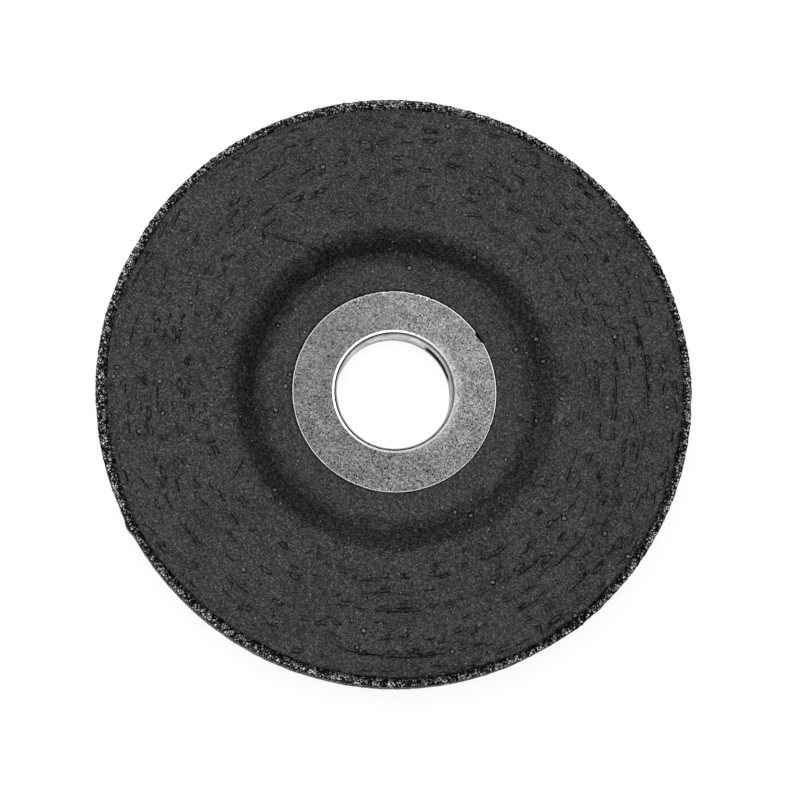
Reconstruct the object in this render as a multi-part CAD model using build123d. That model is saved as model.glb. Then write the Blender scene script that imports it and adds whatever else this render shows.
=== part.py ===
from build123d import *
from math import cos, radians, sin
import os

# Depressed-centre grinding disc, lying on the back of its hub with the grinding face up.
# The origin is on the bore's axis, in the plane of the hub's back face. Sizes are in millimetres.

# Disc
disc_radius = 57.5
disc_thickness = 6.0
front_edge_radius = 0.5
back_edge_radius = 1.2
grit_margin = 2.1

# Pressed recess around the centre
recess_depth = 4.6
recess_floor_radius = 24.2
slope_angle = 38.0
floor_blend_radius = 4.0
mouth_blend_radius = 4.6

# Black facing pressed onto the grinding side
facing_thickness = 0.35
facing_hole_gap = 0.1

# Steel centre ring
bore_radius = 11.115
sheet_thickness = 0.45
flange_radius = 19.8
ring_bend_radius = 0.35
tube_inset = 0.3

# Heights and radii that follow from the sizes above
floor_height = disc_thickness
face_height = floor_height + recess_depth
facing_radius = disc_radius - grit_margin
facing_hole_radius = flange_radius + facing_hole_gap
seat_height = floor_height - facing_thickness
hub_hole_radius = bore_radius + sheet_thickness

# The slope runs straight between the two blends, so its length follows from the depth
slope = radians(slope_angle)
blend_sum = floor_blend_radius + mouth_blend_radius
slope_length = (recess_depth - blend_sum * (1 - cos(slope))) / sin(slope)
recess_mouth_radius = recess_floor_radius + blend_sum * sin(slope) + slope_length * cos(slope)


def dish_edges(depth, drop=0):
    """The recess in section, from its floor out to the face, at a depth inside the front and then dropped."""
    floor_radius = floor_blend_radius + depth
    mouth_radius = mouth_blend_radius - depth
    floor_centre = (recess_floor_radius, floor_height - drop - depth + floor_radius)
    mouth_centre = (recess_mouth_radius, face_height - drop - depth - mouth_radius)
    floor_arc = CenterArc(floor_centre, floor_radius, -90, slope_angle)
    mouth_arc = CenterArc(mouth_centre, mouth_radius, 90, slope_angle)
    return [floor_arc, Line(floor_arc @ 1, mouth_arc @ 1), mouth_arc]


def turned(edges):
    """A solid of revolution about Z from a closed section, given as radius and height."""
    return revolve(Plane.XZ * make_face(edges), axis=Axis.Z)


def ring_bend(radius):
    """Quarter turn of the ring's sheet from the tube into the flange."""
    bend_centre = (hub_hole_radius + ring_bend_radius, seat_height - ring_bend_radius)
    return CenterArc(bend_centre, radius, 90, 90)


def make_abrasive_body():
    """Pressed grit and resin, of one upright thickness through rim, slope and hub."""
    back_height = face_height - disc_thickness
    top_height = face_height - facing_thickness
    back_centre = (disc_radius - back_edge_radius, back_height + back_edge_radius)
    front_centre = (disc_radius - front_edge_radius, top_height - front_edge_radius)
    back_edge = CenterArc(back_centre, back_edge_radius, -90, 90)
    front_edge = CenterArc(front_centre, front_edge_radius, 0, 90)
    seat_bend = ring_bend(ring_bend_radius)
    back_dish = dish_edges(0, disc_thickness)
    front_dish = dish_edges(facing_thickness)
    hole_foot = (hub_hole_radius, 0)
    edges = [
        Line(hole_foot, back_dish[0] @ 0),
        *back_dish,
        Line(back_dish[2] @ 0, back_edge @ 0),
        back_edge,
        Line(back_edge @ 1, front_edge @ 0),
        front_edge,
        Line(front_edge @ 1, front_dish[2] @ 0),
        *front_dish,
        Line(front_dish[0] @ 0, seat_bend @ 0),
        seat_bend,
        Line(seat_bend @ 1, hole_foot),
    ]
    return turned(edges)


def make_facing_sheet():
    """Thin black facing that follows the front from the ring's flange to the bare grit at the rim."""
    front_dish = dish_edges(0)
    under_dish = dish_edges(facing_thickness)
    hole_top = (facing_hole_radius, floor_height)
    hole_foot = (facing_hole_radius, seat_height)
    rim_top = (facing_radius, face_height)
    rim_foot = (facing_radius, face_height - facing_thickness)
    edges = [
        Line(hole_top, front_dish[0] @ 0),
        *front_dish,
        Line(front_dish[2] @ 0, rim_top),
        Line(rim_top, rim_foot),
        Line(rim_foot, under_dish[2] @ 0),
        *under_dish,
        Line(under_dish[0] @ 0, hole_foot),
        Line(hole_foot, hole_top),
    ]
    return turned(edges)


def make_centre_ring():
    """Drawn sheet-steel ring: a flange in the recess and a tube that lines the bore."""
    flange_height = seat_height + sheet_thickness
    inner_bend = ring_bend(ring_bend_radius + sheet_thickness)
    outer_bend = ring_bend(ring_bend_radius)
    flange_top = (flange_radius, flange_height)
    flange_foot = (flange_radius, seat_height)
    tube_outside = (hub_hole_radius, tube_inset)
    tube_inside = (bore_radius, tube_inset)
    edges = [
        Line(tube_inside, inner_bend @ 1),
        inner_bend,
        Line(inner_bend @ 0, flange_top),
        Line(flange_top, flange_foot),
        Line(flange_foot, outer_bend @ 0),
        outer_bend,
        Line(outer_bend @ 1, tube_outside),
        Line(tube_outside, tube_inside),
    ]
    return turned(edges)


os.makedirs("parts", exist_ok=True)
export_step(make_abrasive_body(), "parts/abrasive_body.step")
export_step(make_facing_sheet(), "parts/facing_sheet.step")
export_step(make_centre_ring(), "parts/centre_ring.step")
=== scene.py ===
import math

import bpy
import numpy as np
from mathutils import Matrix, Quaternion, Vector, noise


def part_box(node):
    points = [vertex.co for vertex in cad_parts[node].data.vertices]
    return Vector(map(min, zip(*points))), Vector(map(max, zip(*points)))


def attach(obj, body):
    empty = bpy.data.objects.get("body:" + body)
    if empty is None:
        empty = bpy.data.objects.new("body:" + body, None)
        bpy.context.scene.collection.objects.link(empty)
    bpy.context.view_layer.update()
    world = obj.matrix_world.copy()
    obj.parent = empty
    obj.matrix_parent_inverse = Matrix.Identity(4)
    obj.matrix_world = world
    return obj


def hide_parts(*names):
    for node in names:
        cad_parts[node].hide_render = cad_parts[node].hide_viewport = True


# The disc lies on the back of its hub with the grinding face up. Lengths are in metres.
MM = 0.001
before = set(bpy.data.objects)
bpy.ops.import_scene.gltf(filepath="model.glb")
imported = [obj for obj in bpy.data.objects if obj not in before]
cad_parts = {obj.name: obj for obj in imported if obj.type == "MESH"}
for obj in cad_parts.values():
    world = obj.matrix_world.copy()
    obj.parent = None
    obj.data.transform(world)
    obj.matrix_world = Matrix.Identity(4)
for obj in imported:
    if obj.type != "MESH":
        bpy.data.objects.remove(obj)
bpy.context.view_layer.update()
body_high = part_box("abrasive_body")[1]
facing_low, facing_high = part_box("facing_sheet")
ring_low, ring_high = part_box("centre_ring")

# Sizes read from the frame
DISC_RADIUS = body_high.x
GRIT_HEIGHT = body_high.z
FACING_RADIUS = facing_high.x
FACE_HEIGHT = facing_high.z
SEAT_HEIGHT = facing_low.z
FLANGE_RADIUS = ring_high.x
FLANGE_HEIGHT = ring_high.z
TUBE_FOOT = ring_low.z
FACING_THICKNESS = FACE_HEIGHT - GRIT_HEIGHT
HUB_HEIGHT = SEAT_HEIGHT + FACING_THICKNESS
SHEET_THICKNESS = FLANGE_HEIGHT - SEAT_HEIGHT
DISC_THICKNESS = HUB_HEIGHT
BACK_HEIGHT = FACE_HEIGHT - DISC_THICKNESS

# Sizes of the pressed section that no box shows
BORE_RADIUS = 11.115 * MM
RING_BEND_RADIUS = 0.35 * MM
FRONT_EDGE_RADIUS = 0.5 * MM
BACK_EDGE_RADIUS = 1.2 * MM
HUB_FLAT_RADIUS = 24.2 * MM
SLOPE_ANGLE = math.radians(38)
FLOOR_BLEND_RADIUS = 4.0 * MM
MOUTH_BLEND_RADIUS = 4.6 * MM
FACING_HOLE_RADIUS = FLANGE_RADIUS + 0.1 * MM

HUB_HOLE_RADIUS = BORE_RADIUS + SHEET_THICKNESS
RECESS_DEPTH = FACE_HEIGHT - HUB_HEIGHT
BLEND_SUM = FLOOR_BLEND_RADIUS + MOUTH_BLEND_RADIUS
SLOPE_LENGTH = (RECESS_DEPTH - BLEND_SUM * (1 - math.cos(SLOPE_ANGLE))) / math.sin(SLOPE_ANGLE)
MOUTH_RADIUS = HUB_FLAT_RADIUS + BLEND_SUM * math.sin(SLOPE_ANGLE) + SLOPE_LENGTH * math.cos(SLOPE_ANGLE)

# The camera that the photograph's circles give, for a picture of 800 by 800
PICTURE_SIZE = 800
CAMERA_DISTANCE = 505 * MM
CAMERA_TILT = math.radians(11.16)
CAMERA_ROLL = 21.0
CAMERA_LENS = 118.2
AIM_HEIGHT = 8.0 * MM
AIM_PIXEL = (395.3, 389.4)

# Mesh columns round the disc
FACING_COLUMNS = 880
BODY_COLUMNS = 1120
RING_COLUMNS = 900

# The facing was pressed onto a wound net, which left rings of short creases
FIRST_RIPPLE = 36.9 * MM
RIPPLE_PITCH = 2.88 * MM
RIPPLE_COUNT = 7
CREASE_SPACING = 4.6 * MM
CREASE_REACH = 0.7 * MM
CREASE_WIDTH = 0.28 * MM
CRACK_COUNT = 320
NET_DIRECTIONS = (32, 118)

# Heights and depths of the facing's relief
RIPPLE_HEIGHT = 0.016 * MM
SWAY_HEIGHT = 0.03 * MM
LUMP_HEIGHT = 0.014 * MM
SPECK_HEIGHT = 0.008 * MM
PUCKER_HEIGHT = 0.12 * MM
FACING_SINK = 0.05 * MM
CREASE_DEPTH = 0.05 * MM

# Depths of the body's relief
COARSE_GRIT_DEPTH = 0.16 * MM
FINE_GRIT_DEPTH = 0.08 * MM
HUB_BACK_DEPTH = 0.03 * MM
PRESSED_BACK_DEPTH = 0.05 * MM
BORDER_GROOVE_DEPTH = 0.12 * MM

# Places on the finished surfaces, by radius: the core of the painted shade on the slope, the slope's middle
# where pits lie thickest, the bead's painted highlight and the painted dark line in the ring's mouth
SLOPE_SHADE_CORE = 28.2 * MM
SLOPE_MIDDLE = 30.0 * MM
BEAD_RADIUS = 11.87 * MM
MOUTH_LINE_RADIUS = 11.54 * MM

# Brightness of the finishes, and how much the facing shines
FACING_TONE = 0.018
FACING_SHEEN = 0.485
GRIT_TONE = 3.1
RING_TONE = 0.212

# Light and floor
WORLD_LEVEL = 0.2
KEY_LIGHT_BEARING = 240
KEY_LIGHT_ELEVATION = 72
KEY_LIGHT_DISTANCE = 1.0
KEY_LIGHT_SIZE = 2.0
KEY_LIGHT_WATTS = 17.5
FLOOR_HALF_SIZE = 6.0

# Bearings run clockwise from the right-hand side of the photograph, in degrees.
# Facing edge: bearing, spread and how far the edge stands out past its mean line
FACING_EDGE_SWELLS = (
    (18, 16, -0.08), (62, 22, 0.1), (118, 16, -0.08), (149, 9, 0.42),
    (178, 14, -0.44), (208, 12, -0.26), (240, 8, 0.06), (268, 14, -0.46),
    (300, 8, -0.2), (328, 20, 0.2),
)
# Rim: bearing, spread and depth of the chips and flat places on the outline. A minus stands proud.
RIM_CHIPS = (
    (48, 1.2, -0.14), (53, 1.4, -0.16), (62, 6, 0.16), (76, 12, 0.16),
    (103, 8, 0.08), (152.2, 1.4, -0.5), (168, 8, -0.06), (199, 3, 0.12),
    (209, 5, 0.18), (288, 8, 0.14), (306, 8, 0.14), (345, 7, 0.12),
    (3, 1.2, 0.12), (174, 1.5, 0.1), (240, 1.2, 0.12),
)
# Ring's flange: bearing, spread and depth of the bites in its edge
FLANGE_BITES = (
    (325.0, 1.1, 0.4), (327.0, 1.4, 0.34), (329.6, 1.3, 0.28), (248.5, 0.5, 0.12),
    (252.0, 0.7, 0.16), (255.5, 0.4, 0.1), (259.0, 0.6, 0.14), (266.0, 0.9, 0.1),
    (279.5, 0.5, 0.12), (282.5, 0.8, 0.2), (287.0, 0.4, 0.1), (291.5, 0.6, 0.14),
    (20.0, 1.2, 0.08), (110.0, 1.5, 0.08), (205.0, 1.2, 0.08),
)
# Ring's flange: bearing, spread and inner radius of the white scratches that run in from its edge
FLANGE_SCRATCHES = (
    (264.0, 0.3, 18.8), (249.0, 0.3, 18.9), (256.0, 0.25, 19.2), (285.5, 0.25, 19.1),
    (289.5, 0.3, 19.0),
)
# Sectors where the creases lie thickest, as bearing, spread and chance added
CREASE_SECTORS = (
    (0, 28, 0.3), (50, 26, 0.45), (88, 20, 0.4), (182, 26, 0.35),
    (318, 20, 0.2),
)
# Long creases that follow a ring: radius, first and last bearing
LONG_CREASES = (
    (48.3, -17, -9), (48.5, -8, 2), (45.6, 41, 49), (42.9, 52, 57),
    (51.6, 80, 92), (51.3, 93, 101), (43.1, 84, 93), (42.5, -3, 4),
    (50.9, 44, 50), (48.6, 57, 62),
)
# Cracks across the rings: radius, bearing, length, turn from the radial direction in degrees
LONG_CRACKS = (
    (36.5, 233, 5.5, 35), (32.0, 239, 4.0, 42), (43.5, 338, 3.5, -30), (40.2, 331, 3.0, 50),
    (51.8, 328, 3.6, 20), (52.3, 341, 3.0, -15), (34.2, 152, 4.0, 35), (41.0, 218, 2.4, 60),
    (54.0, 22, 3.0, 55),
)


def world_angle(bearing):
    """Angle about Z, in radians, of a bearing in the photograph."""
    return np.radians(CAMERA_ROLL - bearing)


def photo_bearing(x, y):
    """Bearing in the photograph of a place on the disc, from 0 to 360 degrees."""
    return np.mod(CAMERA_ROLL - np.degrees(np.arctan2(y, x)), 360)


def sector(bearing, centre, spread):
    """A smooth hill of height 1 round a bearing."""
    off = np.mod(bearing - centre + 180, 360) - 180
    return np.exp(-((off / spread) ** 2))


def hills(bearing, table):
    """Sum of the hills that a table lists by bearing, spread and height in millimetres."""
    return sum(rise * MM * sector(bearing, centre, spread) for centre, spread, rise in table)


def radius_and_bearing(points):
    """Distance from the axis, and bearing in the photograph, of each point."""
    x, y = points[:, :, 0], points[:, :, 1]
    return np.hypot(x, y), photo_bearing(x, y)


def smooth_step(value, low, high):
    share = np.clip((value - low) / (high - low), 0, 1)
    return share * share * (3 - 2 * share)


# Section of the pressed disc


def front_height(radius, depth):
    """Height of the front surface at a radius, or of the parallel surface at a depth inside it."""
    inner, outer = FLOOR_BLEND_RADIUS + depth, MOUTH_BLEND_RADIUS - depth
    floor, face = HUB_HEIGHT - depth, FACE_HEIGHT - depth
    slope_start = HUB_FLAT_RADIUS + inner * math.sin(SLOPE_ANGLE)
    slope_end = MOUTH_RADIUS - outer * math.sin(SLOPE_ANGLE)
    if radius <= HUB_FLAT_RADIUS:
        return floor
    if radius <= slope_start:
        return floor + inner - math.sqrt(inner ** 2 - (radius - HUB_FLAT_RADIUS) ** 2)
    if radius <= slope_end:
        start = floor + inner * (1 - math.cos(SLOPE_ANGLE))
        return start + (radius - slope_start) * math.tan(SLOPE_ANGLE)
    if radius <= MOUTH_RADIUS:
        return face - outer + math.sqrt(outer ** 2 - (MOUTH_RADIUS - radius) ** 2)
    return face


def steps(start, end, count):
    """Evenly spaced values from the start up to, but without, the end."""
    return np.linspace(start, end, count, endpoint=False)


def arc_points(centre, radius, start, end, count):
    """Section points along an arc from one angle to another, in degrees, without the last."""
    angles = np.radians(steps(start, end, count))
    return [(centre[0] + radius * math.cos(a), centre[1] + radius * math.sin(a)) for a in angles]


def line_points(start, end, count):
    """Section points along a straight line, without the last."""
    return list(zip(steps(start[0], end[0], count), steps(start[1], end[1], count)))


def front_points(radii, depth, drop=0):
    return [(r, front_height(r, depth) - drop) for r in radii]


# Meshes


def turned_points(section, columns):
    """Points of a section turned about Z, as rows by columns by x, y and z."""
    angles = steps(0, 2 * math.pi, columns)
    radius, height = np.array(section).T
    x = np.outer(radius, np.cos(angles))
    y = np.outer(radius, np.sin(angles))
    z = np.repeat(height[:, None], columns, axis=1)
    return np.stack([x, y, z], axis=2)


def section_normals(section):
    """Outward direction in the section's plane at each of its points, for a section drawn clockwise."""
    points = np.array(section)
    along = np.roll(points, -1, axis=0) - np.roll(points, 1, axis=0)
    along /= np.hypot(along[:, 0], along[:, 1])[:, None]
    return np.stack([-along[:, 1], along[:, 0]], axis=1)


def move_radius(points, shift):
    """Move points of a turned section towards or away from the axis."""
    angles = np.arctan2(points[:, :, 1], points[:, :, 0])
    points[:, :, 0] += shift * np.cos(angles)
    points[:, :, 1] += shift * np.sin(angles)


def sink(points, normals, depth):
    """Move each point of a turned section inward by its own depth."""
    move_radius(points, -depth * normals[:, 0:1])
    points[:, :, 2] -= depth * normals[:, 1:2]


def turned_piece(name, points, material):
    """A closed piece from rows of points, joined from the last row and column back to the first."""
    rows, columns = points.shape[:2]
    index = np.arange(rows * columns).reshape(rows, columns)
    right = np.roll(index, -1, axis=1)
    above = np.roll(index, -1, axis=0)
    corner = np.roll(right, -1, axis=0)
    faces = np.stack([index, right, corner, above], axis=2).reshape(-1, 4)
    mesh = bpy.data.meshes.new(name)
    mesh.from_pydata(points.reshape(-1, 3).tolist(), [], faces[:, ::-1].tolist())
    mesh.shade_smooth()
    mesh.materials.append(material)
    mesh.update()
    piece = bpy.data.objects.new(name, mesh)
    bpy.context.scene.collection.objects.link(piece)
    return piece


def add_point_values(piece, name, values):
    """Keep a number for each point of a piece, for its material to read."""
    layer = piece.data.attributes.new(name, "FLOAT", "POINT")
    layer.data.foreach_set("value", np.ascontiguousarray(values, dtype=np.float32).ravel())


def noise_over(points, size, seed=0):
    """Smooth noise from about -1 to 1 at each point, with lumps of a size in metres."""
    flat = points.reshape(-1, 3) / size + seed * 17.3
    return np.array([noise.noise(p) for p in flat.tolist()]).reshape(points.shape[:-1])


def grains_over(points, size, seed=0):
    """Rounded grains: 1 at the middle of each and about 0 between them."""
    flat = points.reshape(-1, 3) / size + seed * 11.9
    near = np.array([noise.voronoi(p)[0][:2] for p in flat.tolist()])
    share = np.clip(near[:, 1] - near[:, 0], 0, 0.7) / 0.7
    return share.reshape(points.shape[:-1])


# Creases in the facing


class CreaseMap:
    """Signed distance to the nearest crease and how strongly it shows, at each point of some rows."""

    def __init__(self, points):
        self.x = points[:, :, 0]
        self.y = points[:, :, 1]
        self.radius = np.hypot(self.x[:, 0], self.y[:, 0])
        self.side = np.full(self.x.shape, CREASE_REACH)
        self.near = np.zeros(self.x.shape)

    def rows_near(self, *radii):
        low = np.searchsorted(self.radius, min(radii) - CREASE_REACH)
        high = np.searchsorted(self.radius, max(radii) + CREASE_REACH)
        return slice(low, high)

    def keep(self, rows, side, near):
        closer = near > self.near[rows]
        self.side[rows] = np.where(closer, side, self.side[rows])
        self.near[rows] = np.where(closer, near, self.near[rows])

    def line(self, start, end, strength):
        """A straight crease between two places."""
        ahead = end - start
        length = ahead.length
        ahead = ahead.normalized()
        rows = self.rows_near(start.length, end.length, (start + end).length / 2)
        x, y = self.x[rows] - start.x, self.y[rows] - start.y
        along = x * ahead.x + y * ahead.y
        across = y * ahead.x - x * ahead.y
        past = np.maximum(np.maximum(-along, along - length), 0)
        near = 1 - smooth_step(np.abs(across), 0.5 * CREASE_REACH, CREASE_REACH)
        near *= 1 - smooth_step(past, 0, 0.4 * MM)
        self.keep(rows, across, near * strength)


def place_at(radius, bearing):
    angle = world_angle(bearing)
    return Vector((radius * math.cos(angle), radius * math.sin(angle)))


def turned_by(direction, degrees):
    angle = math.radians(degrees)
    cosine, sine = math.cos(angle), math.sin(angle)
    return Vector((direction.x * cosine - direction.y * sine, direction.x * sine + direction.y * cosine))


def crease_chance(bearing, base):
    rises = [rise * float(sector(bearing, centre, spread)) for centre, spread, rise in CREASE_SECTORS]
    return base + sum(rises)


def crease_path(creases, radius, first, last, strength, rng):
    """A long crease that follows a ring with a slightly uneven line."""
    count = max(2, round(math.radians(abs(last - first)) * radius / (1.6 * MM)))
    bearings = np.linspace(first, last, count + 1)
    places = [place_at(radius + rng.normal(0, 0.06) * MM, b) for b in bearings]
    for start, end in zip(places, places[1:]):
        creases.line(start, end, strength * rng.uniform(0.85, 1))


def add_ring_creases(creases, rng):
    """Short creases, single, bent or in pairs, along each ripple of the facing."""
    for ring in range(RIPPLE_COUNT):
        ring_radius = FIRST_RIPPLE + ring * RIPPLE_PITCH
        slots = round(2 * math.pi * ring_radius / CREASE_SPACING)
        for slot in range(slots):
            bearing = 360 * (slot + rng.uniform(-0.3, 0.3)) / slots
            radius = ring_radius + rng.normal(0, 0.3) * MM
            chance, kind = rng.random(2)
            half = rng.uniform(0.6, 1.5) * MM
            tilt = rng.normal(4, 6)
            strength = rng.uniform(0.65, 1)
            gap = rng.uniform(0.6, 0.85) * MM
            if chance > crease_chance(bearing, 0.4):
                continue
            centre = place_at(radius, bearing)
            across = centre.normalized()
            ahead = turned_by(Vector((-across.y, across.x)), tilt)
            start, end = centre - ahead * half, centre + ahead * half
            if kind < 0.5:
                creases.line(start, end, strength)
            elif kind < 0.78:
                # A pair of creases side by side, drawn in opposite directions
                creases.line(start, end, strength)
                creases.line(end - across * gap, start - across * gap + ahead * half * 0.5, strength * 0.85)
            else:
                middle = centre + across * 0.14 * MM
                creases.line(start, middle, strength)
                creases.line(middle, end, strength * 0.8)
    for radius, first, last in LONG_CREASES:
        crease_path(creases, radius * MM, first, last, 1.0, rng)


def add_cracks(creases, rng):
    """Short cracks that follow the two directions of the net under the facing."""
    for _ in range(CRACK_COUNT):
        radius = math.sqrt(rng.uniform(0.31, 0.97)) * FACING_RADIUS
        bearing = rng.uniform(0, 360)
        chance, direction, bend = rng.random(3)
        length = rng.uniform(0.5, 1.5) * MM
        strength = rng.uniform(0.5, 1)
        wander = rng.normal(0, 14)
        if chance > crease_chance(bearing, 0.25):
            continue
        start = place_at(radius, bearing)
        heading = NET_DIRECTIONS[0] if direction < 0.5 else NET_DIRECTIONS[1]
        ahead = turned_by(Vector((1, 0)), heading + wander)
        middle = start + ahead * length
        creases.line(start, middle, strength)
        if bend < 0.35:
            creases.line(middle, middle + turned_by(ahead, 84) * length * 0.8, strength)
        elif bend < 0.5:
            creases.line(middle, middle + turned_by(ahead, -18) * length * 0.7, strength * 0.8)
    for radius, bearing, length, turn in LONG_CRACKS:
        centre = place_at(radius * MM, bearing)
        ahead = turned_by(centre.normalized(), turn)
        half = length / 2 * MM
        bow = turned_by(ahead, 90) * 0.25 * MM
        creases.line(centre - ahead * half, centre + bow, 0.9)
        creases.line(centre + bow, centre + ahead * half, 0.8)


# The black facing


def facing_edge(bearing):
    """How far the facing's edge stands out past its mean radius, by bearing."""
    return hills(bearing, FACING_EDGE_SWELLS)


def facing_relief(points, radius, bearing):
    """Height added to the facing's front: ripples, puckers on the slope and a slight unevenness."""
    flat = points * np.array([1, 1, 0])
    ripple = np.cos(2 * math.pi * (radius - FIRST_RIPPLE) / RIPPLE_PITCH)
    ripple *= smooth_step(radius, 34 * MM, 37.5 * MM) * (0.7 + 0.5 * noise_over(flat, 9 * MM, 1))
    sway = noise_over(flat, 14 * MM, 2)
    lumps = noise_over(flat, 2.4 * MM, 3)
    specks = noise_over(flat, 0.8 * MM, 4)
    spiral = np.stack([np.radians(bearing) * 9, radius / (5 * MM), np.zeros_like(radius)], axis=2)
    pucker = noise_over(spiral, 1.0, 5)
    on_slope = smooth_step(radius, 25 * MM, 27.5 * MM) * (1 - smooth_step(radius, 32 * MM, 36 * MM))
    puckered = 0.5 + sector(bearing, 325, 40) + sector(bearing, 165, 40)
    relief = RIPPLE_HEIGHT * ripple + SWAY_HEIGHT * sway + LUMP_HEIGHT * lumps + SPECK_HEIGHT * specks
    return relief + PUCKER_HEIGHT * pucker * on_slope * puckered


def make_facing(material):
    """Thin black facing that follows the front from the ring's flange to the bare grit at the rim."""
    top_radii = np.concatenate([
        steps(FACING_HOLE_RADIUS, HUB_FLAT_RADIUS, 8),
        steps(HUB_FLAT_RADIUS, MOUTH_RADIUS, 34),
        np.linspace(MOUTH_RADIUS, FACING_RADIUS, 59),
    ])
    top_rows = len(top_radii)
    under_radii = np.linspace(FACING_RADIUS, FACING_HOLE_RADIUS, 9)
    underlap = 0.01 * MM
    edge_middle = (FACING_RADIUS + 0.05 * MM, GRIT_HEIGHT + 0.5 * FACING_THICKNESS)
    section = front_points(top_radii, 0) + [edge_middle]
    section += [(r, z + underlap) for r, z in front_points(under_radii, FACING_THICKNESS)]
    points = turned_points(section, FACING_COLUMNS)
    radius, bearing = radius_and_bearing(points)

    rng = np.random.default_rng(11)
    ring_creases = CreaseMap(points[:top_rows])
    add_ring_creases(ring_creases, rng)
    net_cracks = CreaseMap(points[:top_rows])
    add_cracks(net_cracks, rng)
    grooves = np.zeros(radius.shape)
    for creases in (ring_creases, net_cracks):
        grooves[:top_rows] -= creases.near * np.exp(-((creases.side / CREASE_WIDTH) ** 2))

    relief = facing_relief(points, radius, bearing) - FACING_SINK + CREASE_DEPTH * grooves
    inside_hole = smooth_step(radius, FACING_HOLE_RADIUS, FACING_HOLE_RADIUS + 0.4 * MM)
    points[:top_rows, :, 2] += (relief * inside_hole)[:top_rows]
    points[:top_rows, :, 2] = np.minimum(points[:top_rows, :, 2], FACE_HEIGHT)
    points[top_rows - 1, :, 2] -= FACING_SINK
    ragged = 0.16 * MM * noise_over(points, 0.9 * MM, 6) + 0.12 * MM * noise_over(points, 3 * MM, 7)
    near_edge = smooth_step(radius, FACING_RADIUS - 3 * MM, FACING_RADIUS)
    move_radius(points, near_edge * (facing_edge(bearing) + ragged))

    piece = turned_piece("pressed_facing", points, material)
    for name, creases in (("ring_crease", ring_creases), ("net_crack", net_cracks)):
        for part, values in (("side", creases.side), ("near", creases.near)):
            whole = np.zeros(radius.shape)
            whole[:top_rows] = values
            add_point_values(piece, name + "_" + part, whole / MM if part == "side" else whole)
    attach(piece, "root")
    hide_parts("facing_sheet")


# The bonded grit


def make_body(material):
    """Grit and resin: bare and broken at the rim, pressed plain on the back."""
    back_centre = (DISC_RADIUS - BACK_EDGE_RADIUS, BACK_HEIGHT + BACK_EDGE_RADIUS)
    front_centre = (DISC_RADIUS - FRONT_EDGE_RADIUS, GRIT_HEIGHT - FRONT_EDGE_RADIUS)
    front_foot = (DISC_RADIUS, GRIT_HEIGHT - FRONT_EDGE_RADIUS)
    back_top = (DISC_RADIUS, BACK_HEIGHT + BACK_EDGE_RADIUS)
    band_start = FACING_RADIUS - 1.0 * MM
    hole_top = (HUB_HOLE_RADIUS, SEAT_HEIGHT - RING_BEND_RADIUS)
    seat_start = (HUB_HOLE_RADIUS + RING_BEND_RADIUS, SEAT_HEIGHT)
    section = line_points((band_start, GRIT_HEIGHT), (front_centre[0], GRIT_HEIGHT), 11)
    section += arc_points(front_centre, FRONT_EDGE_RADIUS, 90, 0, 4)
    section += line_points(front_foot, back_top, 13)
    section += arc_points(back_centre, BACK_EDGE_RADIUS, 0, -90, 6)
    back_radii = np.concatenate([
        steps(DISC_RADIUS - BACK_EDGE_RADIUS, MOUTH_RADIUS, 22),
        steps(MOUTH_RADIUS, HUB_FLAT_RADIUS, 11),
        steps(HUB_FLAT_RADIUS, HUB_HOLE_RADIUS, 6),
    ])
    section += front_points(back_radii, 0, DISC_THICKNESS)
    section += line_points((HUB_HOLE_RADIUS, 0), hole_top, 3)
    section += line_points(hole_top, seat_start, 1)
    section += front_points(steps(seat_start[0], band_start, 10), FACING_THICKNESS)
    points = turned_points(section, BODY_COLUMNS)
    normals = section_normals(section)
    radius, bearing = radius_and_bearing(points)

    # Bare grit at the rim is coarse, and the pressed back is nearly flat
    height = points[:, :, 2]
    at_rim = smooth_step(radius, FACING_RADIUS - 0.8 * MM, FACING_RADIUS)
    at_rim *= smooth_step(height, BACK_HEIGHT, 7 * MM)
    on_back = (height < BACK_HEIGHT + 0.5 * MM) & (radius > HUB_HOLE_RADIUS + 0.5 * MM)
    hub_back = smooth_step(height, 0, 0.6 * MM)
    coarse = 1 - grains_over(points, 0.85 * MM, 1)
    fine = 1 - grains_over(points, 0.42 * MM, 2)
    depth = at_rim * (COARSE_GRIT_DEPTH * coarse + FINE_GRIT_DEPTH * fine)
    depth += on_back * (HUB_BACK_DEPTH + PRESSED_BACK_DEPTH * hub_back) * coarse
    wear = hills(bearing, RIM_CHIPS) + 0.03 * MM * (1 + noise_over(points, 5 * MM, 3))
    upright = points * np.array([1, 1, 0])
    wear += 0.07 * MM * (1 + noise_over(upright, 1.3 * MM, 4))
    wear *= 0.3 + 0.7 * smooth_step(height, BACK_HEIGHT, 6 * MM)
    depth += wear * smooth_step(radius, DISC_RADIUS - 2 * MM, DISC_RADIUS)
    beside_facing = np.abs(radius - FACING_RADIUS - facing_edge(bearing) - 0.15 * MM)
    groove = (1 - smooth_step(beside_facing, 0.1 * MM, 0.5 * MM)) * (height > GRIT_HEIGHT - MM)
    depth += BORDER_GROOVE_DEPTH * groove * (0.4 + 0.6 * sector(bearing, 100, 30))
    sink(points, normals, depth)

    # Painted shade: the tone falls off from the outline towards the facing, the grit under the ring is dark,
    # and a thin dark line runs round the outline's corner
    from_edge = smooth_step(radius - facing_edge(bearing), FACING_RADIUS + 0.1 * MM, DISC_RADIUS - 0.5 * MM)
    under_ring = (radius < HUB_FLAT_RADIUS) & (height > 3 * MM)
    shade = np.where(under_ring | (height > BACK_HEIGHT + 2 * MM), 1 - from_edge, 0)
    corner = smooth_step(radius, DISC_RADIUS - 0.42 * MM, DISC_RADIUS - 0.14 * MM)
    corner *= smooth_step(height, GRIT_HEIGHT - 1.2 * MM, GRIT_HEIGHT - 0.5 * MM)
    piece = turned_piece("moulded_grit_body", points, material)
    add_point_values(piece, "edge_shade", shade)
    add_point_values(piece, "corner_shade", corner)
    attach(piece, "root")
    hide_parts("abrasive_body")


# The steel centre ring


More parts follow.
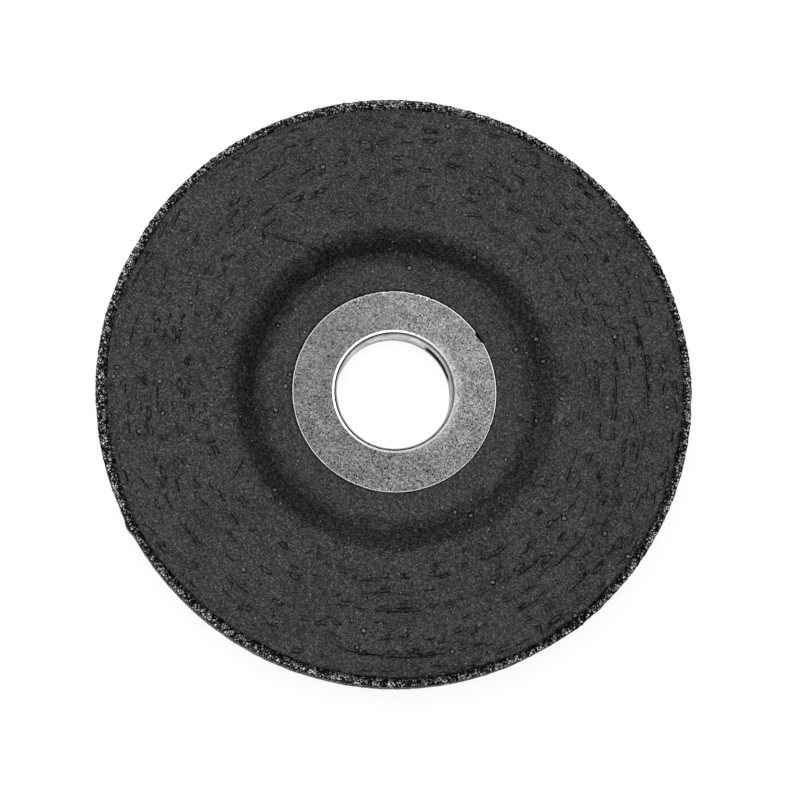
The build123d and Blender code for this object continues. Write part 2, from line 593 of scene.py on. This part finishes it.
def make_ring(material):
    """Drawn sheet-steel ring with a bitten flange edge and a turned-down mouth."""
    bend_centre = (HUB_HOLE_RADIUS + RING_BEND_RADIUS, SEAT_HEIGHT - RING_BEND_RADIUS)
    mouth_radius = RING_BEND_RADIUS + SHEET_THICKNESS
    edge_round = 0.1 * MM
    flange_end = FLANGE_RADIUS - edge_round
    section = line_points((BORE_RADIUS, TUBE_FOOT), (BORE_RADIUS, bend_centre[1]), 8)
    section += arc_points(bend_centre, mouth_radius, 180, 90, 10)
    section += line_points((bend_centre[0], FLANGE_HEIGHT), (flange_end, FLANGE_HEIGHT), 32)
    section += arc_points((flange_end, FLANGE_HEIGHT - edge_round), edge_round, 90, 0, 3)
    section += line_points((FLANGE_RADIUS, FLANGE_HEIGHT - edge_round), (FLANGE_RADIUS, SEAT_HEIGHT), 2)
    section += line_points((FLANGE_RADIUS, SEAT_HEIGHT), (bend_centre[0], SEAT_HEIGHT), 5)
    section += arc_points(bend_centre, RING_BEND_RADIUS, 90, 180, 3)
    section += line_points((HUB_HOLE_RADIUS, bend_centre[1]), (HUB_HOLE_RADIUS, TUBE_FOOT), 3)
    section += line_points((HUB_HOLE_RADIUS, TUBE_FOOT), (BORE_RADIUS, TUBE_FOOT), 2)
    points = turned_points(section, RING_COLUMNS)
    radius, bearing = radius_and_bearing(points)

    bites = hills(bearing, FLANGE_BITES)
    bites += 0.05 * MM + 0.04 * MM * noise_over(points, 0.8 * MM, 8)
    move_radius(points, -bites * smooth_step(radius, FLANGE_RADIUS - 1.2 * MM, FLANGE_RADIUS - edge_round))
    on_top = points[:, :, 2] > FLANGE_HEIGHT - 0.06 * MM
    waves = 0.014 * MM * noise_over(points, 5 * MM, 9) + 0.005 * MM * noise_over(points, 1.2 * MM, 10)
    points[:, :, 2] += np.where(on_top, waves - 0.02 * MM, 0)

    piece = turned_piece("pressed_steel_ring", points, material)
    scratches = sum(
        sector(bearing, centre, spread) * smooth_step(radius, inner * MM, (inner + 0.3) * MM)
        for centre, spread, inner in FLANGE_SCRATCHES
    )
    add_point_values(piece, "edge_bite", bites / MM)
    add_point_values(piece, "scratch", scratches * on_top)
    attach(piece, "root")
    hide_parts("centre_ring")


# Shader building blocks


def feed(tree, value, socket):
    """Connect another node's output to a socket, or set the socket to a plain value."""
    if isinstance(value, bpy.types.NodeSocket):
        tree.links.new(value, socket)
    else:
        socket.default_value = value


def place_node(tree, kind, **values):
    """A new node with values or other nodes' outputs fed to its named inputs."""
    node = tree.nodes.new(kind)
    for name, value in values.items():
        feed(tree, value, node.inputs[name])
    return node


def calculate(tree, operation, *values, clamp=False):
    node = tree.nodes.new("ShaderNodeMath")
    node.operation = operation
    node.use_clamp = clamp
    for value, socket in zip(values, node.inputs):
        feed(tree, value, socket)
    return node.outputs["Value"]


def product(tree, value, *others):
    for other in others:
        value = calculate(tree, "MULTIPLY", value, other)
    return value


def largest(tree, value, *others):
    for other in others:
        value = calculate(tree, "MAXIMUM", value, other)
    return value


def scaled_plus(tree, value, factor, added):
    """A value times a factor, and then something added."""
    return calculate(tree, "MULTIPLY_ADD", value, factor, added)


def distance_from(tree, value, place):
    return calculate(tree, "ABSOLUTE", calculate(tree, "SUBTRACT", value, place))


def keep_share(tree, value, mask, share):
    """Bring a value down to a share of itself where a mask is 1."""
    return product(tree, value, scaled_plus(tree, mask, share - 1, 1.0))


def between(tree, value, low, high, low_result=0.0, high_result=1.0):
    """Smooth change from one result to the other as the value goes from low to high."""
    ends = {"From Min": low, "From Max": high, "To Min": low_result, "To Max": high_result}
    node = place_node(tree, "ShaderNodeMapRange", Value=value, **ends)
    node.interpolation_type = "SMOOTHSTEP"
    return node.outputs["Result"]


def calculate_vector(tree, operation, first, second=None):
    node = tree.nodes.new("ShaderNodeVectorMath")
    node.operation = operation
    feed(tree, first, node.inputs[0])
    if second is not None:
        feed(tree, second, node.inputs["Scale" if operation == "SCALE" else 1])
    return node.outputs["Value" if operation in ("LENGTH", "DOT_PRODUCT") else "Vector"]


def level_place(tree, point):
    """A place with its height taken away."""
    return calculate_vector(tree, "MULTIPLY", point, (1.0, 1.0, 0.0))


def noise_value(tree, point, scale, detail=2.0, roughness=0.5):
    values = {"Vector": point, "Scale": scale, "Detail": detail, "Roughness": roughness}
    return place_node(tree, "ShaderNodeTexNoise", **values).outputs["Fac"]


def bent_place(tree, point, scale, reach):
    """A place pushed aside by soft noise, so that round marks and straight lines become uneven."""
    bend = place_node(tree, "ShaderNodeTexNoise", Vector=point, Scale=scale).outputs["Color"]
    return calculate_vector(tree, "ADD", point, calculate_vector(tree, "SCALE", bend, reach))


def cell_texture(tree, point, scale, feature="F1", dimensions="3D"):
    """Cells round scattered points."""
    node = tree.nodes.new("ShaderNodeTexVoronoi")
    node.feature = feature
    node.voronoi_dimensions = dimensions
    feed(tree, point, node.inputs["Vector"])
    feed(tree, scale, node.inputs["Scale"])
    return node.outputs


def split_colour(tree, colour):
    return place_node(tree, "ShaderNodeSeparateColor", Color=colour).outputs


def split_place(tree, point):
    return place_node(tree, "ShaderNodeSeparateXYZ", Vector=point).outputs


def point_value(tree, name):
    node = tree.nodes.new("ShaderNodeAttribute")
    node.attribute_name = name
    return node.outputs["Fac"]


def start_group(name, outputs, **inputs):
    """An empty node group with named outputs, and named inputs given with their first values."""
    tree = bpy.data.node_groups.new(name, "ShaderNodeTree")
    for label, value in inputs.items():
        kind = "NodeSocketFloat" if isinstance(value, float) else "NodeSocketVector"
        tree.interface.new_socket(label, in_out="INPUT", socket_type=kind).default_value = value
    for label in outputs:
        tree.interface.new_socket(label, in_out="OUTPUT", socket_type="NodeSocketFloat")
    source = tree.nodes.new("NodeGroupInput")
    target = tree.nodes.new("NodeGroupOutput")
    return tree, source.outputs, target.inputs


def place_group(tree, group, **values):
    """Put a node group into a material, with values for its named inputs."""
    node = tree.nodes.new("ShaderNodeGroup")
    node.node_tree = group
    for name, value in values.items():
        feed(tree, value, node.inputs[name])
    return node.outputs


# Shader node groups

AXIS = (0.0, 0.0, 0.0)


def grain_group():
    """Fine uneven grain: a tone from 0 to 1 for each grain, and a soft height round 0.5."""
    tree, given, result = start_group("fine grain", ["Tone", "Height"], Point=AXIS, Size=0.25)
    scale = calculate(tree, "DIVIDE", 1.0, given["Size"])
    cells = cell_texture(tree, given["Point"], scale)
    feed(tree, split_colour(tree, cells["Color"])["Red"], result["Tone"])
    feed(tree, noise_value(tree, given["Point"], product(tree, scale, 0.6), 1.0), result["Height"])
    return tree


def spots_group():
    """Scattered round spots on a face that lies level: the filled spot, and its rim alone."""
    values = {"Spacing": 2.0, "Radius": 0.2, "Chance": 0.5, "Seed": 0.0}
    tree, given, result = start_group("scattered spots", ["Spot", "Rim"], Point=AXIS, **values)
    scale = calculate(tree, "DIVIDE", 1.0, given["Spacing"])
    offset = place_node(tree, "ShaderNodeCombineXYZ", X=given["Seed"], Y=given["Seed"]).outputs["Vector"]
    moved = calculate_vector(tree, "ADD", given["Point"], offset)
    moved = bent_place(tree, moved, 2.2, product(tree, given["Radius"], 1.6))
    cells = cell_texture(tree, moved, scale, dimensions="2D")
    chosen = split_colour(tree, cells["Color"])
    present = calculate(tree, "LESS_THAN", chosen["Red"], given["Chance"])
    radius = product(tree, given["Radius"], between(tree, chosen["Green"], 0.0, 1.0, 0.6, 1.3))
    distance = product(tree, cells["Distance"], given["Spacing"])
    inner = product(tree, radius, 0.5)
    rim = between(tree, distance_from(tree, distance, radius), inner, 0.0)
    feed(tree, product(tree, between(tree, distance, radius, inner), present), result["Spot"])
    feed(tree, product(tree, rim, present), result["Rim"])
    return tree


def crease_group():
    """A thin broken line where a crease runs, from the signed distance to it in millimetres."""
    tree, given, result = start_group("crease line", ["Line"], Point=AXIS, Side=1.0, Near=0.0, Width=0.16)
    shift = scaled_plus(tree, noise_value(tree, given["Point"], 0.8, 1.0), 0.3, -0.15)
    off_line = calculate(tree, "ABSOLUTE", calculate(tree, "ADD", given["Side"], shift))
    line = between(tree, off_line, given["Width"], product(tree, given["Width"], 0.35))
    breaks = between(tree, noise_value(tree, given["Point"], 2.2, 2.0), 0.34, 0.5, 0.55, 1.0)
    feed(tree, product(tree, line, product(tree, given["Near"], breaks)), result["Line"])
    return tree


def fissure_group():
    """Hair-fine cracks along the borders of cells, kept only in patches."""
    values = {"Size": 3.0, "Width": 0.08, "Amount": 0.5}
    tree, given, result = start_group("hair fissures", ["Line"], Point=AXIS, **values)
    moved = bent_place(tree, given["Point"], 1.1, 0.9)
    scale = calculate(tree, "DIVIDE", 1.0, given["Size"])
    borders = cell_texture(tree, moved, scale, "DISTANCE_TO_EDGE", "2D")
    line = between(tree, product(tree, borders["Distance"], given["Size"]), given["Width"], 0.0)
    limit = calculate(tree, "SUBTRACT", 1.0, given["Amount"])
    patches = noise_value(tree, given["Point"], 0.55, 2.0)
    kept = between(tree, patches, limit, calculate(tree, "ADD", limit, 0.1))
    feed(tree, product(tree, line, kept), result["Line"])
    return tree


def grit_group():
    """Packed angular grains: each with its own tone, and the gaps between them."""
    tree, given, result = start_group("packed grit", ["Tone", "Gap"], Point=AXIS, Size=0.5)
    scale = calculate(tree, "DIVIDE", 1.0, given["Size"])
    cells = cell_texture(tree, given["Point"], scale)
    borders = cell_texture(tree, given["Point"], scale, "DISTANCE_TO_EDGE")
    feed(tree, split_colour(tree, cells["Color"])["Red"], result["Tone"])
    feed(tree, between(tree, borders["Distance"], 0.24, 0.06), result["Gap"])
    return tree


def sector_group():
    """A smooth patch round one direction from the disc's axis."""
    values = {"Direction": (1.0, 0.0, 0.0), "Spread": 0.5}
    tree, given, result = start_group("sector", ["Patch", "Radius", "Cosine"], Point=AXIS, **values)
    level = level_place(tree, given["Point"])
    ahead = calculate_vector(tree, "NORMALIZE", level)
    cosine = calculate_vector(tree, "DOT_PRODUCT", ahead, given["Direction"])
    turn = calculate(tree, "ARCCOSINE", product(tree, cosine, 0.9999))
    patch = between(tree, turn, given["Spread"], product(tree, given["Spread"], 0.2))
    feed(tree, patch, result["Patch"])
    feed(tree, calculate_vector(tree, "LENGTH", level), result["Radius"])
    feed(tree, cosine, result["Cosine"])
    return tree


GRAIN = grain_group()
SPOTS = spots_group()
CREASE = crease_group()
FISSURES = fissure_group()
GRIT = grit_group()
SECTOR = sector_group()


# Materials


def towards(tree, point, bearing, spread):
    """The sector group, turned to a bearing in the photograph."""
    angle = world_angle(bearing)
    direction = [math.cos(angle), math.sin(angle), 0.0]
    return place_group(tree, SECTOR, Point=point, Direction=direction, Spread=spread)


def along_rings(tree, point, stretch):
    """A place by its turn round the axis and its radius, in which round marks draw out along the rings."""
    parts = split_place(tree, point)
    turn = calculate(tree, "ARCTAN2", parts["Y"], parts["X"])
    radius = calculate_vector(tree, "LENGTH", level_place(tree, point))
    around = product(tree, turn, 46 * stretch)
    return place_node(tree, "ShaderNodeCombineXYZ", X=around, Y=radius).outputs["Vector"]


def start_material(name):
    """A material with its shader and the place on the object in millimetres."""
    material = bpy.data.materials.new(name)
    material.use_nodes = True
    tree = material.node_tree
    place = tree.nodes.new("ShaderNodeTexCoord").outputs["Object"]
    return material, tree, tree.nodes["Principled BSDF"], calculate_vector(tree, "SCALE", place, 1 / MM)


def feed_grey(tree, value, surface):
    """A grey base colour of one changing brightness."""
    grey = place_node(tree, "ShaderNodeCombineColor", Red=value, Green=value, Blue=value)
    feed(tree, grey.outputs["Color"], surface.inputs["Base Color"])


def add_relief(tree, surface, *parts):
    """Bump from masks, each given with its height in millimetres."""
    height = product(tree, *parts[0])
    for mask, rise in parts[1:]:
        height = scaled_plus(tree, mask, rise, height)
    bump = place_node(tree, "ShaderNodeBump", Distance=MM, Height=height)
    feed(tree, bump.outputs["Normal"], surface.inputs["Normal"])


def add_creases(tree, point, tone):
    """The creases and cracks as dark lines of painted shade, and the tone a little darker round each."""
    lines = []
    for name, width in (("ring_crease", 0.2), ("net_crack", 0.18)):
        side = point_value(tree, name + "_side")
        near = point_value(tree, name + "_near")
        tone = keep_share(tree, tone, near, 0.84)
        lines.append(place_group(tree, CREASE, Point=point, Side=side, Near=near, Width=width)["Line"])
    fissures = place_group(tree, FISSURES, Point=point, Size=3.4, Width=0.14, Amount=0.4)["Line"]
    return largest(tree, *lines, product(tree, fissures, 0.7)), tone


def paint_slope_shade(tree, point, tone, radius, cosine):
    """Darker over the slope, with painted shade that is strongest on the left, and a border of scattered
    grains.
    """
    left = towards(tree, point, 238, 1.9)["Patch"]
    right = towards(tree, point, 52, 2.3)["Patch"]
    scattered = place_group(tree, GRAIN, Point=point, Size=0.36)["Tone"]
    inner = scaled_plus(tree, cosine, -0.6, radius)
    outer = scaled_plus(tree, cosine, 0.45, radius)
    slope = product(tree, between(tree, inner, 24.3, 26.5), between(tree, outer, 32.4, 30.7))
    chance = product(tree, scattered, 0.6)
    slope = between(tree, slope, chance, calculate(tree, "ADD", chance, 0.4))
    drawn_in = scaled_plus(tree, cosine, -0.8, radius)
    left_shade_share = between(tree, drawn_in, 27.6, 30.2, -0.14, 0.4)
    slope_darkening = calculate(tree, "SUBTRACT", scaled_plus(tree, left, left_shade_share, 0.84), 1.0)
    tone = product(tree, tone, scaled_plus(tree, slope_darkening, slope, 1.0))

    # Painted shade: a dark core on the left, and a dark foot and brow on the right
    from_core = distance_from(tree, scaled_plus(tree, cosine, -0.45, radius), SLOPE_SHADE_CORE / MM)
    shade_core = between(tree, from_core, 1.0, 0.2)
    shade_foot = product(tree, between(tree, radius, 24.9, 26.4), between(tree, radius, 28.0, 27.2))
    shade_brow = product(tree, between(tree, radius, 29.6, 30.4), between(tree, radius, 32.4, 31.2))
    for mask, side, share in ((shade_core, left, 0.75), (shade_foot, right, 0.66), (shade_brow, right, 0.78)):
        tone = keep_share(tree, tone, product(tree, mask, side), share)
    on_slope = product(tree, between(tree, radius, 25.0, 27.0), between(tree, radius, 34.0, 31.0))
    uneven = calculate(tree, "SUBTRACT", scattered, 0.5)
    return product(tree, tone, scaled_plus(tree, uneven, on_slope, 1.0))


def make_facing_material():
    material, tree, surface, point = start_material("black_facing_paper")
    grain = place_group(tree, GRAIN, Point=point, Size=0.22)
    tone = scaled_plus(tree, calculate(tree, "POWER", grain["Tone"], 3.0), 1.9, 0.54)
    for soft in (grain["Height"], noise_value(tree, point, 0.12, 3.0)):
        tone = product(tree, tone, between(tree, soft, 0.3, 0.7, 0.9, 1.1))
    creases, tone = add_creases(tree, point, tone)

    # Round marks: pocks with a dot in them, pits, pale specks and links drawn out along the rings
    top = towards(tree, point, 262, 1.0)
    ragged = between(tree, noise_value(tree, point, 0.9, 4.0, 0.7), 0.3, 0.7, -0.7, 0.7)
    swaying = between(tree, noise_value(tree, point, 0.22, 2.0), 0.35, 0.65, -0.9, 0.9)
    radius = calculate(tree, "ADD", calculate(tree, "ADD", top["Radius"], ragged), swaying)
    pit_chance = between(tree, distance_from(tree, radius, SLOPE_MIDDLE / MM), 1.5, 5.0, 0.6, 0.24)
    pocks = place_group(tree, SPOTS, Point=point, Spacing=2.8, Radius=0.4, Chance=0.07, Seed=3.0)
    pits = place_group(tree, SPOTS, Point=point, Spacing=1.0, Radius=0.19, Chance=pit_chance, Seed=9.0)
    specks = place_group(tree, SPOTS, Point=point, Spacing=1.6, Radius=0.15, Chance=0.16, Seed=6.0)["Spot"]
    rings = along_rings(tree, point, 0.36)
    links = place_group(tree, SPOTS, Point=rings, Spacing=2.0, Radius=0.34, Chance=0.18, Seed=14.0)["Rim"]
    links = product(tree, links, between(tree, radius, 34.0, 36.0, 0.0, 0.9))
    # Painted shade in the creases; the rims of pocks and the links are dark marks
    dark = largest(tree, creases, pocks["Rim"], links)
    tone = keep_share(tree, tone, dark, 0.03)
    tone = keep_share(tree, tone, pits["Spot"], 0.3)
    tone = paint_slope_shade(tree, point, tone, radius, top["Cosine"])

    dots = calculate(tree, "POWER", pocks["Spot"], 8.0)
    base = scaled_plus(tree, dots, 0.12, product(tree, tone, FACING_TONE))
    feed_grey(tree, scaled_plus(tree, specks, 0.2, base), surface)
    coat = calculate(tree, "MULTIPLY", tone, FACING_SHEEN, clamp=True)
    feed(tree, coat, surface.inputs["Coat Weight"])
    surface.inputs["Coat Roughness"].default_value = 0.5
    surface.inputs["Coat IOR"].default_value = 1.65
    surface.inputs["Specular IOR Level"].default_value = 0.05
    surface.inputs["Roughness"].default_value = 0.8
    relief = ((grain["Height"], 0.05), (dark, -0.06), (pits["Spot"], -0.02), (specks, 0.03))
    add_relief(tree, surface, *relief)
    return material


def make_grit_material():
    material, tree, surface, point = start_material("bonded_grit")
    coarse = place_group(tree, GRIT, Point=point, Size=0.46)
    fine = place_group(tree, GRIT, Point=point, Size=0.24)
    tone = scaled_plus(tree, coarse["Tone"], 0.65, product(tree, fine["Tone"], 0.45))
    tone = calculate(tree, "POWER", between(tree, tone, 0.18, 1.05), 1.6)
    tone = keep_share(tree, tone, coarse["Gap"], 0.0)
    tone = keep_share(tree, tone, fine["Gap"], 0.45)
    base = calculate(tree, "MULTIPLY_ADD", tone, GRIT_TONE, 0.001, clamp=True)
    # Painted shade near the facing, under the ring and at the outline's corner
    base = keep_share(tree, base, point_value(tree, "edge_shade"), 0.15)
    base = keep_share(tree, base, point_value(tree, "corner_shade"), 0.08)
    feed_grey(tree, base, surface)
    surface.inputs["Specular IOR Level"].default_value = 0.08
    feed(tree, between(tree, fine["Tone"], 0.0, 1.0, 0.35, 0.8), surface.inputs["Roughness"])
    relief = ((coarse["Tone"], 0.1), (fine["Tone"], 0.05), (coarse["Gap"], -0.1), (fine["Gap"], -0.05))
    add_relief(tree, surface, *relief)
    return material


def highlight_and_burnish_places(tree, point, radius, lit):
    """Painted highlights on the bead round the mouth and the sheared edge of the flange, stronger or weaker
    by bearing; the same places are also smoother.
    """
    bright = towards(tree, point, 325, 1.3)["Patch"]
    bead = between(tree, distance_from(tree, radius, BEAD_RADIUS / MM), 0.26, 0.14)
    bead = product(tree, bead, between(tree, lit, 0.0, 1.0, 0.55, 1.1))
    bead = product(tree, bead, between(tree, bright, 0.0, 1.0, 1.0, 0.7))
    bite = point_value(tree, "edge_bite")
    true_edge = calculate(tree, "ADD", radius, bite)
    edge = between(tree, true_edge, FLANGE_RADIUS / MM - 0.26, FLANGE_RADIUS / MM - 0.14)
    unbroken = between(tree, bite, 0.16, 0.32, 1.0, 0.2)
    return largest(tree, bead, product(tree, edge, unbroken, between(tree, bright, 0.0, 0.6, 0.7, 1.0)))


def bore_wall_light(tree, radius, height, clouds, lit):
    """Painted reflection on the wall of the bore, with painted shade towards its foot and more light on the
    lit side.
    """
    bore = between(tree, radius, BORE_RADIUS / MM + 0.42, BORE_RADIUS / MM + 0.2)
    rising = between(tree, height, 0.6, 4.4, 0.26, 0.6)
    uneven = between(tree, clouds, 0.3, 0.7, 0.7, 1.2)
    return product(tree, bore, rising, uneven, between(tree, lit, 0.0, 1.0, 0.75, 1.25))


def bore_dark_patch(tree, point, radius, height):
    """A black patch on the wall of the bore, under the mouth."""
    dark_patch = towards(tree, point, 325, 0.52)["Patch"]
    upright = (between(tree, height, 1.0, 1.8), between(tree, height, 4.5, 3.9))
    return between(tree, product(tree, dark_patch, *upright, between(tree, radius, 11.5, 11.35)), 0.15, 0.5)


def make_ring_material():
    material, tree, surface, point = start_material("dull_ring_steel")
    grain = place_group(tree, GRAIN, Point=point, Size=0.22)
    clouds = noise_value(tree, point, 0.3, 3.0, 0.6)
    rough = towards(tree, point, 70, 2.0)
    radius = rough["Radius"]
    height = split_place(tree, point)["Z"]
    lit = towards(tree, point, 230, 2.9)["Patch"]
    chance = between(tree, noise_value(tree, point, 0.25, 1.0), 0.38, 0.62, 0.05, 0.4)
    chance = scaled_plus(tree, rough["Patch"], 0.4, chance)
    pits = place_group(tree, SPOTS, Point=point, Spacing=0.5, Radius=0.14, Chance=chance, Seed=2.0)["Spot"]
    marks = place_group(tree, SPOTS, Point=point, Spacing=1.3, Radius=0.2, Chance=0.25, Seed=8.0)["Spot"]
    specks = place_group(tree, SPOTS, Point=point, Spacing=0.6, Radius=0.13, Chance=chance, Seed=5.0)["Spot"]

    tone = between(tree, grain["Tone"], 0.0, 1.0, 0.56, 1.44)
    tone = product(tree, tone, between(tree, grain["Height"], 0.3, 0.7, 0.9, 1.1))
    tone = product(tree, tone, between(tree, clouds, 0.3, 0.7, 0.85, 1.15))
    dark = largest(tree, pits, marks)
    tone = keep_share(tree, tone, dark, 0.12)
    # Painted light: the ring is lighter towards bearing 335 and darker away from it
    rise = towards(tree, point, 335, 2.6)["Patch"]
    tone = product(tree, tone, between(tree, rise, 0.0, 1.0, 0.85, 1.15))
    base = scaled_plus(tree, tone, RING_TONE, product(tree, specks, 0.32))
    base = scaled_plus(tree, point_value(tree, "scratch"), 0.6, base)

    # Painted highlights on the smooth mouth on the right, the bead and the edge, a painted reflection on the
    # wall, and a painted dark line between
    right = towards(tree, point, 0, 1.7)["Patch"]
    base = scaled_plus(tree, product(tree, between(tree, radius, 13.6, 12.4), right), 0.14, base)
    highlight_and_burnish = highlight_and_burnish_places(tree, point, radius, lit)
    base = largest(tree, base, product(tree, highlight_and_burnish, 0.85), bore_wall_light(tree, radius, height, clouds, lit))
    from_line = distance_from(tree, radius, MOUTH_LINE_RADIUS / MM)
    base = keep_share(tree, base, between(tree, from_line, 0.13, 0.05), 0.22)
    dark_patch = bore_dark_patch(tree, point, radius, height)
    feed_grey(tree, keep_share(tree, base, dark_patch, 0.02), surface)
    feed(tree, calculate(tree, "SUBTRACT", 1.0, dark_patch), surface.inputs["Metallic"])
    surface.inputs["Specular IOR Level"].default_value = 0.1
    roughness = keep_share(tree, between(tree, grain["Height"], 0.3, 0.7, 0.6, 0.42), highlight_and_burnish, 0.6)
    feed(tree, largest(tree, roughness, dark_patch), surface.inputs["Roughness"])
    add_relief(tree, surface, (grain["Height"], 0.03), (dark, -0.03), (specks, 0.02))
    return material


# Light, floor and camera


def floor_material():
    """White where the camera, gloss or glass sees it, with a part that is lit, so that it keeps a shadow."""
    material = bpy.data.materials.new("pale_floor")
    material.use_nodes = True
    tree = material.node_tree
    tree.nodes.clear()
    path = tree.nodes.new("ShaderNodeLightPath")
    lit = tree.nodes.new("ShaderNodeBsdfDiffuse")
    lit.inputs["Color"].default_value = (0.2, 0.2, 0.2, 1)
    glow = tree.nodes.new("ShaderNodeEmission")
    glow.inputs["Color"].default_value = (0.87, 0.87, 0.87, 1)
    seen = tree.nodes.new("ShaderNodeAddShader")
    plain = tree.nodes.new("ShaderNodeBsdfDiffuse")
    plain.inputs["Color"].default_value = (0.8, 0.8, 0.8, 1)
    gloss = calculate(tree, "MAXIMUM", path.outputs["Is Camera Ray"], path.outputs["Is Glossy Ray"])
    glass = calculate(tree, "MAXIMUM", gloss, path.outputs["Is Transmission Ray"])
    mix = tree.nodes.new("ShaderNodeMixShader")
    output = tree.nodes.new("ShaderNodeOutputMaterial")
    feed(tree, lit.outputs[0], seen.inputs[0])
    feed(tree, glow.outputs[0], seen.inputs[1])
    feed(tree, glass, mix.inputs[0])
    feed(tree, plain.outputs[0], mix.inputs[1])
    feed(tree, seen.outputs[0], mix.inputs[2])
    feed(tree, mix.outputs[0], output.inputs["Surface"])
    return material


def make_floor():
    mesh = bpy.data.meshes.new("floor")
    half = FLOOR_HALF_SIZE
    corners = [(-half, -half, 0), (half, -half, 0), (half, half, 0), (-half, half, 0)]
    mesh.from_pydata(corners, [], [(0, 1, 2, 3)])
    mesh.materials.append(floor_material())
    floor = bpy.data.objects.new("floor", mesh)
    bpy.context.scene.collection.objects.link(floor)


def make_world():
    """A plain surround that lights the object at a low level from every side."""
    world = bpy.data.worlds.new("studio")
    bpy.context.scene.world = world
    world.use_nodes = True
    surround = world.node_tree.nodes["Background"]
    surround.inputs["Color"].default_value = (1, 1, 1, 1)
    surround.inputs["Strength"].default_value = WORLD_LEVEL


def make_key_light():
    """A square soft light that looks down at the disc from a bearing in the photograph."""
    angle, rise = world_angle(KEY_LIGHT_BEARING), math.radians(KEY_LIGHT_ELEVATION)
    away = Vector((math.cos(angle) * math.cos(rise), math.sin(angle) * math.cos(rise), math.sin(rise)))
    light = bpy.data.lights.new("key_light", "AREA")
    light.shape = "SQUARE"
    light.size = KEY_LIGHT_SIZE
    light.energy = KEY_LIGHT_WATTS
    lamp = bpy.data.objects.new("key_light", light)
    lamp.location = away * KEY_LIGHT_DISTANCE
    lamp.rotation_mode = "QUATERNION"
    lamp.rotation_quaternion = away.to_track_quat("Z", "Y")
    bpy.context.scene.collection.objects.link(lamp)


def make_camera():
    data = bpy.data.cameras.new("camera")
    data.lens = CAMERA_LENS
    data.sensor_width = 36.0
    data.clip_start = 0.01
    data.shift_x = (PICTURE_SIZE / 2 - AIM_PIXEL[0]) / PICTURE_SIZE
    data.shift_y = (AIM_PIXEL[1] - PICTURE_SIZE / 2) / PICTURE_SIZE
    camera = bpy.data.objects.new("camera", data)
    back = Vector((0, -math.sin(CAMERA_TILT), math.cos(CAMERA_TILT)))
    camera.location = Vector((0, 0, AIM_HEIGHT)) + back * CAMERA_DISTANCE
    camera.rotation_mode = "QUATERNION"
    level = (-back).to_track_quat("-Z", "Y")
    camera.rotation_quaternion = level @ Quaternion((0, 0, 1), math.radians(CAMERA_ROLL))
    bpy.context.scene.collection.objects.link(camera)
    bpy.context.scene.camera = camera


bpy.context.scene.view_settings.view_transform = "Standard"
make_camera()
make_world()
make_key_light()
make_floor()
make_body(make_grit_material())
make_facing(make_facing_material())
make_ring(make_ring_material())
